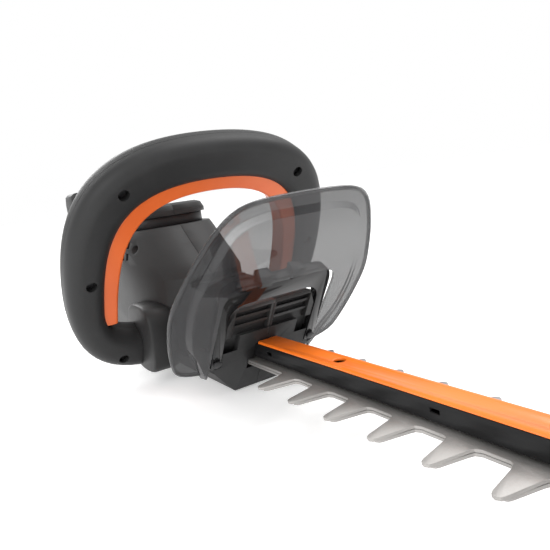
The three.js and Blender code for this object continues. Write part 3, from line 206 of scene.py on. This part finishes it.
# %% [markdown]
# ## Finishes
# Each finish starts from the same recipe: the slow noise shifts the colour and the roughness a
# little, dust lightens what looks up, and the fine grain bends the light. What differs is how much.
# %% The recipe
def finish(name, dark, light, rough, grain_scale=900.0, bump=0.05, wear_color=None, amount=0.3,
           metallic=0.0, specular=0.5, stretch=(1, 1, 1)):
    """A procedural finish between two tones, with roughness from rough[0] to rough[1]."""
    made = bpy.data.materials.new(name)
    made.use_nodes = True
    tree = made.node_tree
    shader = tree.nodes["Principled BSDF"]
    shader.inputs["Metallic"].default_value = metallic
    shader.inputs["Specular IOR Level"].default_value = specular
    place = place_node(tree, "ShaderNodeTexCoord")
    mapped = place_node(tree, "ShaderNodeMapping", {
        "Vector": place.outputs["Object"], "Scale": stretch,
    })
    texture = place_node(tree, "ShaderNodeGroup", node_tree=grain)
    tree.links.new(mapped.outputs["Vector"], texture.inputs["Vector"])
    texture.inputs["Scale"].default_value = grain_scale
    worn = place_node(tree, "ShaderNodeGroup", node_tree=wear)
    tree.links.new(place.outputs["Object"], worn.inputs["Vector"])
    worn.inputs["Amount"].default_value = amount
    ramp = place_node(tree, "ShaderNodeValToRGB", {"Fac": texture.outputs["Tone"]})
    ramp.color_ramp.elements[0].position = 0.3
    ramp.color_ramp.elements[0].color = (*dark, 1)
    ramp.color_ramp.elements[1].position = 0.7
    ramp.color_ramp.elements[1].color = (*light, 1)
    color = ramp.outputs["Color"]
    rubbed = wear_color or tuple(min(1, c * 1.5 + 0.01) for c in light)
    mix = place_node(tree, "ShaderNodeMixRGB", {
        "Fac": worn.outputs["Wear"], "Color1": color, "Color2": (*rubbed, 1),
    })
    dusty = place_node(tree, "ShaderNodeMixRGB", {
        "Fac": worn.outputs["Dust"], "Color1": mix.outputs["Color"],
        "Color2": (*[c * 0.85 + 0.03 for c in light], 1),
    })
    tree.links.new(dusty.outputs["Color"], shader.inputs["Base Color"])
    sheen = place_node(tree, "ShaderNodeMapRange", {
        "Value": texture.outputs["Tone"], "From Min": 0.3, "From Max": 0.7,
        "To Min": rough[0], "To Max": rough[1],
    })
    tree.links.new(sheen.outputs["Result"], shader.inputs["Roughness"])
    bent = place_node(tree, "ShaderNodeBump", {
        "Height": texture.outputs["Height"], "Strength": bump, "Distance": 0.0003,
    })
    tree.links.new(bent.outputs["Normal"], shader.inputs["Normal"])
    return made


# %% [markdown]
# The two tones are linear colours, and the two roughnesses are the least and the most that the
# finish shows. A higher grain scale is a finer texture. Dark plastics have a low specular, so that a
# white room does not turn them grey.
# %% Plastics and coatings
finishes = {
    "body_plastic": finish(
        "body_plastic", (0.019, 0.019, 0.0192), (0.026, 0.026, 0.0264), (0.42, 0.52), 1400, 0.14,
        amount=0.12, specular=0.2,
    ),
    "black_plastic": finish(
        "black_plastic", (0.012, 0.012, 0.013), (0.02, 0.02, 0.021), (0.38, 0.5), 1200, 0.1,
        specular=0.3,
    ),
    "orange_plastic": finish(
        "orange_plastic", (0.68, 0.115, 0.02), (0.78, 0.15, 0.028), (0.36, 0.45), 1200, 0.06,
        wear_color=(0.85, 0.25, 0.08), amount=0.12,
    ),
    "orange_cap": finish(
        "orange_cap", (0.86, 0.16, 0.012), (0.95, 0.2, 0.016), (0.3, 0.38), 1000, 0.05,
        wear_color=(0.95, 0.32, 0.08), amount=0.1,
    ),
    "frame_plastic": finish(
        "frame_plastic", (0.008, 0.008, 0.0085), (0.014, 0.014, 0.0145), (0.08, 0.16), 500, 0.03,
        amount=0.05, specular=0.35,
    ),
    "rail_black": finish(
        "rail_black", (0.006, 0.006, 0.0063), (0.011, 0.011, 0.0115), (0.3, 0.42), 1500, 0.08,
        amount=0.06, specular=0.15,
    ),
    "board": finish("board", (0.015, 0.09, 0.035), (0.02, 0.13, 0.05), (0.35, 0.5), 300, 0.1),
}
print("plastics:", sorted(finishes))

# %% [markdown]
# Metals share the recipe, with Metallic raised. The black screws are only partly metallic, because
# the oxide film on them is not.
# %% Metals
finishes["black_screw"] = finish(
    "black_screw", (0.015, 0.015, 0.016), (0.024, 0.024, 0.025), (0.32, 0.45), 900, 0.1, metallic=0.4,
)
finishes["bright_steel"] = finish(
    "bright_steel", (0.42, 0.42, 0.43), (0.6, 0.6, 0.6), (0.25, 0.4), 800, 0.08, metallic=1.0,
)
finishes["cast_alloy"] = finish(
    "cast_alloy", (0.5, 0.5, 0.51), (0.62, 0.62, 0.63), (0.45, 0.6), 700, 0.3, metallic=1.0,
)
finishes["winding"] = finish(
    "winding", (0.4, 0.18, 0.08), (0.55, 0.26, 0.12), (0.35, 0.5), 600, 0.3, metallic=1.0, stretch=(1, 1, 8),
)

# %% [markdown]
# Blade steel is ground flat, then laser cut. Under a lens its faces are covered in a fine, even
# sparkle, so the grain here is coarse and strong, over a pale grey.
# %% Blade steel
finishes["blade_steel"] = finish(
    "blade_steel", (0.27, 0.26, 0.25), (0.42, 0.405, 0.39), (0.45, 0.62), 1100, 0.5,
    wear_color=(0.5, 0.49, 0.48), amount=0.25, metallic=0.75,
)

# %% [markdown]
# The guard is smoked polycarbonate. A dark, glossy surface with a low alpha tints what lies behind
# it, and its rim looks darker because there the eye looks through more of it.
# %% Smoked plastic
smoked = finish(
    "smoked_plastic", (0.02, 0.02, 0.022), (0.03, 0.03, 0.032), (0.04, 0.09), 200, 0.01, amount=0.04,
)
shader = smoked.node_tree.nodes["Principled BSDF"]
edge = place_node(smoked.node_tree, "ShaderNodeLayerWeight", {"Blend": 0.35})
density = place_node(smoked.node_tree, "ShaderNodeMapRange", {
    "Value": edge.outputs["Facing"], "To Min": 0.52, "To Max": 0.95,
})
smoked.node_tree.links.new(density.outputs["Result"], shader.inputs["Alpha"])
finishes["smoked_plastic"] = smoked
bead_look = finish(
    "guard_bead", (0.03, 0.03, 0.032), (0.045, 0.045, 0.047), (0.05, 0.1), 200, 0.01, amount=0.04,
)
bead_look.node_tree.nodes["Principled BSDF"].inputs["Alpha"].default_value = 0.6
finishes["guard_bead"] = bead_look
print("finishes:", sorted(finishes))

# %% [markdown]
# ## The parts that keep the model's own shape
# A weld joins each part's loose triangles, and a small bevel rounds its edges, as a mould or a
# grinding wheel would. The bevel is the light line that makes an edge look real.
# %% Dress the model's parts
slots = {row["node"]: row["material_slot"] for row in frame["record"]["subparts"]}
SHARP = math.radians(32)


def round_edges(piece, width, segments=2):
    """Joins a part's loose triangles and rounds its edges."""
    weld = piece.modifiers.new("weld", "WELD")
    weld.merge_threshold = 0.00001
    bevel = piece.modifiers.new("bevel", "BEVEL")
    bevel.width = width
    bevel.segments = segments
    bevel.limit_method = "ANGLE"
    bevel.angle_limit = SHARP
    bevel.harden_normals = True


def smooth(mesh):
    mesh.polygons.foreach_set("use_smooth", [True] * len(mesh.polygons))
    mesh.update()


EDGE_WIDTHS = {
    "blade_steel": 0.15, "orange_cap": 0.35, "body_plastic": 0.8, "frame_plastic": 0.9,
}
OTHER_EDGE_WIDTH = 0.3
for name, node in nodes.items():
    node.data.materials.clear()
    node.data.materials.append(finishes[slots[name]])
    smooth(node.data)
    round_edges(node, EDGE_WIDTHS.get(slots[name], OTHER_EDGE_WIDTH) * MM)
print("dressed:", len(nodes), "parts")

# %% [markdown]
# ## Shapes that lean
# The loop handle and the guard are each drawn on a plane that leans forward, and the notch for the
# guard's frame is cut on the frame's own leaning plane. A flat outline is drawn across Y and up the
# plane, given its thickness, rounded, and then the plane is leant over and moved to its foot. Each
# curved stretch is one Bezier curve.
# %% Outline tools
def bezier(a, b, c, d, count):
    """Points from a to d, with b and c as the handles, as (across, up) pairs."""
    return [(p.x, p.y) for p in interpolate_bezier(*[Vector((*q, 0)) for q in (a, b, c, d)], count)]


def leaning(foot_x, lean):
    """The matrix that takes (through, across, up) on the plane, in millimetres, to the frame."""
    return Matrix.Translation((foot_x * MM, 0, 0)) @ Matrix.Rotation(lean, 4, "Y") @ Matrix.Scale(MM, 4)


# %% [markdown]
# A slab is one face, extruded. A band is a row of quads between two lines, extruded in the same way:
# a C-shaped outline made of one big face would be filled across its opening.
# %% Slabs and bands
def slab(outline, back, front):
    """A bmesh plate with that outline, from back to front through the plane."""
    plate = bmesh.new()
    ring = [plate.verts.new((back, y, z)) for y, z in outline]
    face = plate.faces.new(ring)
    grown = bmesh.ops.extrude_face_region(plate, geom=[face])
    moved = [v for v in grown["geom"] if isinstance(v, bmesh.types.BMVert)]
    bmesh.ops.translate(plate, verts=moved, vec=(front - back, 0, 0))
    bmesh.ops.recalc_face_normals(plate, faces=plate.faces)
    return plate


def band(outer, inner, back, front, lift=0.0):
    """A bmesh plate between two lines with the same number of points, made of one row of quads."""
    plate = bmesh.new()
    lines = [[plate.verts.new((back, y, z + lift)) for y, z in line] for line in (outer, inner)]
    outer_line, inner_line = lines
    corners = zip(outer_line, outer_line[1:], inner_line, inner_line[1:])
    faces = [plate.faces.new((a, b, d, c)) for a, b, c, d in corners]
    grown = bmesh.ops.extrude_face_region(plate, geom=faces)
    moved = [v for v in grown["geom"] if isinstance(v, bmesh.types.BMVert)]
    bmesh.ops.translate(plate, verts=moved, vec=(front - back, 0, 0))
    bmesh.ops.recalc_face_normals(plate, faces=plate.faces)
    return plate


def round_rim(plate, through, width, segments):
    """Rounds the outline of the face of a plate that lies at one depth."""
    def flat(face):
        return all(abs(v.co.x - through) < 1e-4 for v in face.verts)

    rim = [e for e in plate.edges if [flat(f) for f in e.link_faces].count(True) == 1]
    bmesh.ops.bevel(plate, geom=rim, offset=width, segments=segments, profile=0.5, affect="EDGES",
                    material=-1, clamp_overlap=False)


# %% [markdown]
# Each finished mesh becomes an object that rides on a body. A cut is a Boolean modifier, applied at
# once, so that the cutter can be removed.
# %% Pieces and cuts
def make_piece(name, shape, material, body, stands_for=(), matrix=None):
    """Turns a bmesh into a finished piece that rides on a body of the frame."""
    if matrix is not None:
        bmesh.ops.transform(shape, matrix=matrix, verts=shape.verts)
    bmesh.ops.recalc_face_normals(shape, faces=shape.faces)
    data = bpy.data.meshes.new(name)
    shape.to_mesh(data)
    shape.free()
    smooth(data)
    piece = bpy.data.objects.new(name, data)
    scene.collection.objects.link(piece)
    piece.data.materials.append(finishes[material])
    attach(piece, body)
    if stands_for:
        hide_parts(*stands_for)
    return piece


def cut_away(piece, *cutters):
    """Cuts solids out of a piece, for good, and removes the cutters."""
    for cutter in cutters:
        cut = piece.modifiers.new("cut", "BOOLEAN")
        cut.operation = "DIFFERENCE"
        cut.solver = "MANIFOLD"
        cut.object = cutter
    bake_modifiers(piece)
    for cutter in cutters:
        bpy.data.objects.remove(cutter)


def bake_modifiers(piece):
    """Replaces a piece's mesh by the one that its modifiers make."""
    depsgraph = bpy.context.evaluated_depsgraph_get()
    data = bpy.data.meshes.new_from_object(piece.evaluated_get(depsgraph))
    piece.modifiers.clear()
    piece.data = data


def cutter_object(shape, matrix=None):
    """A plain object for a Boolean modifier to subtract."""
    if matrix is not None:
        bmesh.ops.transform(shape, matrix=matrix, verts=shape.verts)
    bmesh.ops.recalc_face_normals(shape, faces=shape.faces)
    data = bpy.data.meshes.new("cutter")
    shape.to_mesh(data)
    shape.free()
    made = bpy.data.objects.new("cutter", data)
    scene.collection.objects.link(made)
    return made


def soft_edges(piece, width, segments=3, angle=SHARP):
    bevel = piece.modifiers.new("bevel", "BEVEL")
    bevel.width = width
    bevel.segments = segments
    bevel.limit_method = "ANGLE"
    bevel.angle_limit = angle
    bevel.harden_normals = True


def peg(through_0, through_1, across, up, radius, sides=32):
    """A bmesh cylinder that goes through a leaning plane."""
    rod = bmesh.new()
    bmesh.ops.create_cone(rod, cap_ends=True, segments=sides, radius1=radius, radius2=radius,
                          depth=through_1 - through_0)
    bmesh.ops.rotate(rod, verts=rod.verts, cent=(0, 0, 0), matrix=Matrix.Rotation(math.pi / 2, 3, "Y"))
    bmesh.ops.translate(rod, verts=rod.verts, vec=((through_0 + through_1) / 2, across, up))
    return rod


def joined(shapes):
    """One bmesh from several that don't touch."""
    whole = bmesh.new()
    for shape in shapes:
        data = bpy.data.meshes.new("part")
        shape.to_mesh(data)
        shape.free()
        whole.from_mesh(data)
        bpy.data.meshes.remove(data)
    return whole


# %% [markdown]
# ## The loop handle
# Two moulded shells, front and rear, meet on a seam that runs all round the loop. Each is a thick
# C-shaped plate whose outer rim is rounded by almost a third of its width, so that the two together
# feel round in the hand. A channel for the squeeze bar runs along the inside.
# %% Loop outline
RAIL_FOOT_X = 60.0  # the rail leaves the body here
LOOP_FOOT_X = RAIL_FOOT_X - 140.5
LOOP_LEAN = math.radians(30)
LOOP_OUTER, LOOP_INNER = 114.0, 85.0
LOOP_TOP, LOOP_INNER_TOP = 220.0, 187.0
LOOP_DEPTH_HALF = 15.0
LOOP_ROUND = 11.5
SEAM = 0.15
BAIL_TRAVEL = 4.0
COLLAR_FACE = 57.5
LEG_CUT = 40.0  # the lines start inside the collar, where they are cut off
OUTER_FOOT, INNER_FOOT = 108.0, 86.0  # where the legs start to curve in
LOOP_LOW, LEG_WIDTH = 17.5, 36.0
OUTER_CORNER = (0.72, 0.72)  # how far each handle of the curve reaches up and across
INNER_CORNER = (0.68, 0.87)
GAP = 0.6
loop_plane = leaning(LOOP_FOOT_X, LOOP_LEAN)


def arch(legs, top, foot, corner=INNER_CORNER, count=40):
    """Half of an arch, from the foot of its leg to the middle of its top."""
    up = foot + (top - foot) * corner[0]
    return bezier((legs, foot), (legs, up), (legs * corner[1], top), (0, top), count)


def lower_leg(end, outside, mid, low, count=16):
    """The curve from the end of a leg, out and up to where its arch starts."""
    reach = end + (outside - end) * 0.75
    down = mid - (mid - low) * 0.6
    return bezier((end, low), (reach, low), (outside, down), (outside, mid), count)


leg_end = COLLAR_FACE + GAP / 2
outer_leg = lower_leg(LEG_CUT, LOOP_OUTER, OUTER_FOOT, LOOP_LOW)
inner_leg = lower_leg(LEG_CUT, LOOP_INNER, INNER_FOOT, LOOP_LOW + LEG_WIDTH)
outer_half = [*outer_leg, *arch(LOOP_OUTER, LOOP_TOP, OUTER_FOOT, OUTER_CORNER)[1:]]
inner_half = [*inner_leg, *arch(LOOP_INNER, LOOP_INNER_TOP, INNER_FOOT)[1:]]


def across(half):
    """A half line from the left side to the centre, completed on the right."""
    return [*half, *[(-y, z) for y, z in reversed(half[:-1])]]


BAR_SUNK, BAR_PROUD, BAR_END, BAR_HALF = 4.6, 9.0, 71.0, 9.5


def bar_lines(gap=0.0):
    """The two edges of the squeeze bar, or of the channel round it when there is a gap."""
    sunk, proud, foot = BAR_SUNK + gap, BAR_PROUD + gap, BAR_END - gap
    outer = across(arch(LOOP_INNER + sunk, LOOP_INNER_TOP + sunk, foot))
    inner = across(arch(LOOP_INNER - proud, LOOP_INNER_TOP - proud, foot))
    return outer, inner


print("loop outline:", len(outer_half), "points a side")

# %% [markdown]
# Both shells are cut back at the collars and get the channel of the bar, once for each end of its
# travel. Only the front shell has the wells for the screws.
# %% Loop shells
LOOP_SCREWS = [(72, 187.5), (97, 117), (74, 37)]
SCREW_SEAT, SCREW_WELL_R = 8.0, 4.2
COLLAR_TOP = INNER_FOOT - 8
for side, name in ((1, "front"), (-1, "rear")):
    shell = band(across(outer_half), across(inner_half), side * SEAM, side * LOOP_DEPTH_HALF)
    round_rim(shell, side * LOOP_DEPTH_HALF, LOOP_ROUND, 8)
    piece = make_piece(f"loop_shell_{name}", shell, "body_plastic", "root",
                       (f"loop_handle_{name}",), loop_plane)
    corners = [(-leg_end, -30), (leg_end, -30), (leg_end, COLLAR_TOP), (-leg_end, COLLAR_TOP)]
    cutters = [cutter_object(slab(corners, -40, 40), loop_plane)]
    for lift in (0, BAIL_TRAVEL):
        channel = band(*bar_lines(GAP), -BAR_HALF - GAP, BAR_HALF + GAP, lift)
        cutters.append(cutter_object(channel, loop_plane))
    if side > 0:
        wells = [peg(SCREW_SEAT, 30, s * y, z, SCREW_WELL_R) for y, z in LOOP_SCREWS for s in (1, -1)]
        cutters.append(cutter_object(joined(wells), loop_plane))
    cut_away(piece, *cutters)
    soft_edges(piece, 0.5 * MM, 2)
    print(piece.name, len(piece.data.polygons), "faces")

# %% [markdown]
# ## The squeeze bar
# The orange bar follows the inside of the loop. Its inner edge is rounded for the fingers.
# %% Squeeze bar
strip = band(*bar_lines(), -BAR_HALF, BAR_HALF)
bar = make_piece("squeeze_bar", strip, "orange_plastic", "bail",
                 ("safety_bail",), loop_plane)
BAR_ROUND = 2.2
soft_edges(bar, BAR_ROUND * MM, 5, math.radians(50))
print(bar.name, len(bar.data.polygons), "faces")

# %% [markdown]
# ## The guard
# A see-through shield, moulded as one thin sheet: a flat rim, then a short slope up to a raised
# middle. Rings of points are bridged into a surface, which a Solidify modifier thickens.
# %% Guard sizes
GUARD_FOOT_X = RAIL_FOOT_X - 34.7
GUARD_LEAN = math.radians(38)
GUARD_THICK = 2.2
GUARD_STEP = 4.0
guard_plane = leaning(GUARD_FOOT_X, GUARD_LEAN)
FRAME_FOOT_X = RAIL_FOOT_X - 24.5
FRAME_LEAN = math.radians(34)
frame_plane = leaning(FRAME_FOOT_X, FRAME_LEAN)
RIM_EDGE = [
    (46, 30), (65, 38), (72, 55), (76, 78), (77, 99), (73, 118), (64, 144), (51, 168), (34, 177), (0, 179),
]
RAISED_EDGE = [
    (46, 26), (56, 50), (62, 64), (65.5, 88), (64, 112), (56, 138), (46, 160), (28, 168), (0, 169),
]
SLOPE_RUN = 3.0  # how far the slope moves in on its way up
FLAT_RUN = 12.0  # a ring this far in keeps the raised middle flat
print("guard:", len(RIM_EDGE), "points down one side")

# %% [markdown]
# A free outline through a few points is a smooth curve, and the rings of the guard need the same
# number of points each, so the curve is walked along and marked off in equal steps.
# %% Smooth curve
def spline(points, count):
    """A smooth curve through points, evenly spaced along its length."""
    ends = [points[0], *points, points[-1]]
    dense = []
    for p0, p1, p2, p3 in zip(ends, ends[1:], ends[2:], ends[3:]):
        a, b, c, d = (Vector(q) for q in (p0, p1, p2, p3))
        for step in range(12):
            t = step / 12
            dense.append(0.5 * (2 * b + (c - a) * t + (2 * a - 5 * b + 4 * c - d) * t**2
                                + (3 * b - a - 3 * c + d) * t**3))
    dense.append(Vector(points[-1]))
    lengths = [0.0]
    for p, q in zip(dense, dense[1:]):
        lengths.append(lengths[-1] + (q - p).length)
    even = []
    for i in range(count):
        goal = lengths[-1] * i / (count - 1)
        k = max(j for j, length in enumerate(lengths) if length <= goal + 1e-9)
        k = min(k, len(dense) - 2)
        share = (goal - lengths[k]) / max(lengths[k + 1] - lengths[k], 1e-9)
        even.append(tuple(dense[k].lerp(dense[k + 1], share)))
    return even


# %% [markdown]
# Four rings make the sheet: the rim, the foot of the slope, its top, and one on the flat.
# %% Guard
HALF_COUNT = 44


def ring_of(sheet, half, through):
    """A ring's vertices, from the left foot over the top to the right foot."""
    whole = [*half, *[(-y, z) for y, z in reversed(half[:-1])]]
    return [sheet.verts.new((through, y, z)) for y, z in whole]


def drawn_in(half, amount):
    """Moves an edge inwards, towards a point in the middle of the guard."""
    centre = Vector((0, 95))
    moved = []
    for y, z in half:
        p = Vector((y, z))
        moved.append(tuple(p + (centre - p).normalized() * amount) if y > 1e-6 else (0, z - amount))
    return moved


sheet = bmesh.new()
rim_half = spline(RIM_EDGE, HALF_COUNT)
raised_half = spline(RAISED_EDGE, HALF_COUNT)
rings = [ring_of(sheet, rim_half, 0.0)]
rings.append(ring_of(sheet, raised_half, 0.0))
rings.append(ring_of(sheet, drawn_in(raised_half, SLOPE_RUN), GUARD_STEP))
rings.append(ring_of(sheet, drawn_in(raised_half, FLAT_RUN), GUARD_STEP))
for low, high in zip(rings, rings[1:]):
    for i in range(len(low) - 1):
        sheet.faces.new((low[i], low[i + 1], high[i + 1], high[i]))
sheet.faces.new(rings[-1])
bmesh.ops.recalc_face_normals(sheet, faces=sheet.faces)
shield = make_piece("guard_shield", sheet, "smoked_plastic", "root",
                    ("guard",), guard_plane)
thick = shield.modifiers.new("thick", "SOLIDIFY")
thick.thickness = GUARD_THICK * MM
thick.offset = 0


# %% [markdown]
# The frame fills a notch in the guard. The notch is cut with an arch on the frame's own plane, a
# little wider than the frame.
# %% Notch for the frame
NOTCH_HALF, NOTCH_TOP, NOTCH_REACH = 44.1, 106.6, 25


def frame_arch(half, top, foot, corner=16, count=12):
    """The arch of the frame: two straight legs and two round corners."""
    leg = bezier((half, top - corner), (half, top - 3), (half - 5, top), (half - corner, top), count)
    whole = [(half, foot), *leg]
    return [*whole, *[(-y, z) for y, z in reversed(whole)]]


bake_modifiers(shield)
notch = slab(frame_arch(NOTCH_HALF, NOTCH_TOP, 0), -NOTCH_REACH, NOTCH_REACH)
cut_away(shield, cutter_object(notch, frame_plane))
soft_edges(shield, 0.6 * MM, 3)
print(shield.name, len(shield.data.polygons), "faces")

# %% [markdown]
# A bead stiffens the guard's free edge. It is drawn as a round section swept along the rim, and it
# looks darker than the sheet, because there is more plastic to look through.
# %% Guard bead
BEAD_R = 1.5
BEAD_SIDES = 10


def swept(path, through, radius, sides):
    """A bmesh tube with closed ends along a path across a leaning plane."""
    tube = bmesh.new()
    rings = []
    for i, (y, z) in enumerate(path):
        before, after = path[max(i - 1, 0)], path[min(i + 1, len(path) - 1)]
        along = Vector((0, after[0] - before[0], after[1] - before[1])).normalized()
        outward = along.cross(Vector((1, 0, 0)))
        middle = Vector((through, y, z))
        turns = [2 * math.pi * k / sides for k in range(sides)]
        spokes = [math.cos(t) * outward + math.sin(t) * Vector((1, 0, 0)) for t in turns]
        rings.append([tube.verts.new(middle + radius * spoke) for spoke in spokes])
    for low, high in zip(rings, rings[1:]):
        for k in range(sides):
            tube.faces.new((low[k], low[(k + 1) % sides], high[(k + 1) % sides], high[k]))
    tube.faces.new(rings[0])
    tube.faces.new(rings[-1])
    return tube


bead_path = drawn_in(rim_half, BEAD_R - GUARD_THICK / 2)
bead_path = [*bead_path, *[(-y, z) for y, z in reversed(bead_path[:-1])]]
bead = swept(bead_path, 0.0, BEAD_R, BEAD_SIDES)
make_piece("guard_bead", bead, "guard_bead", "root", (), guard_plane)
print("bead points:", len(bead_path))
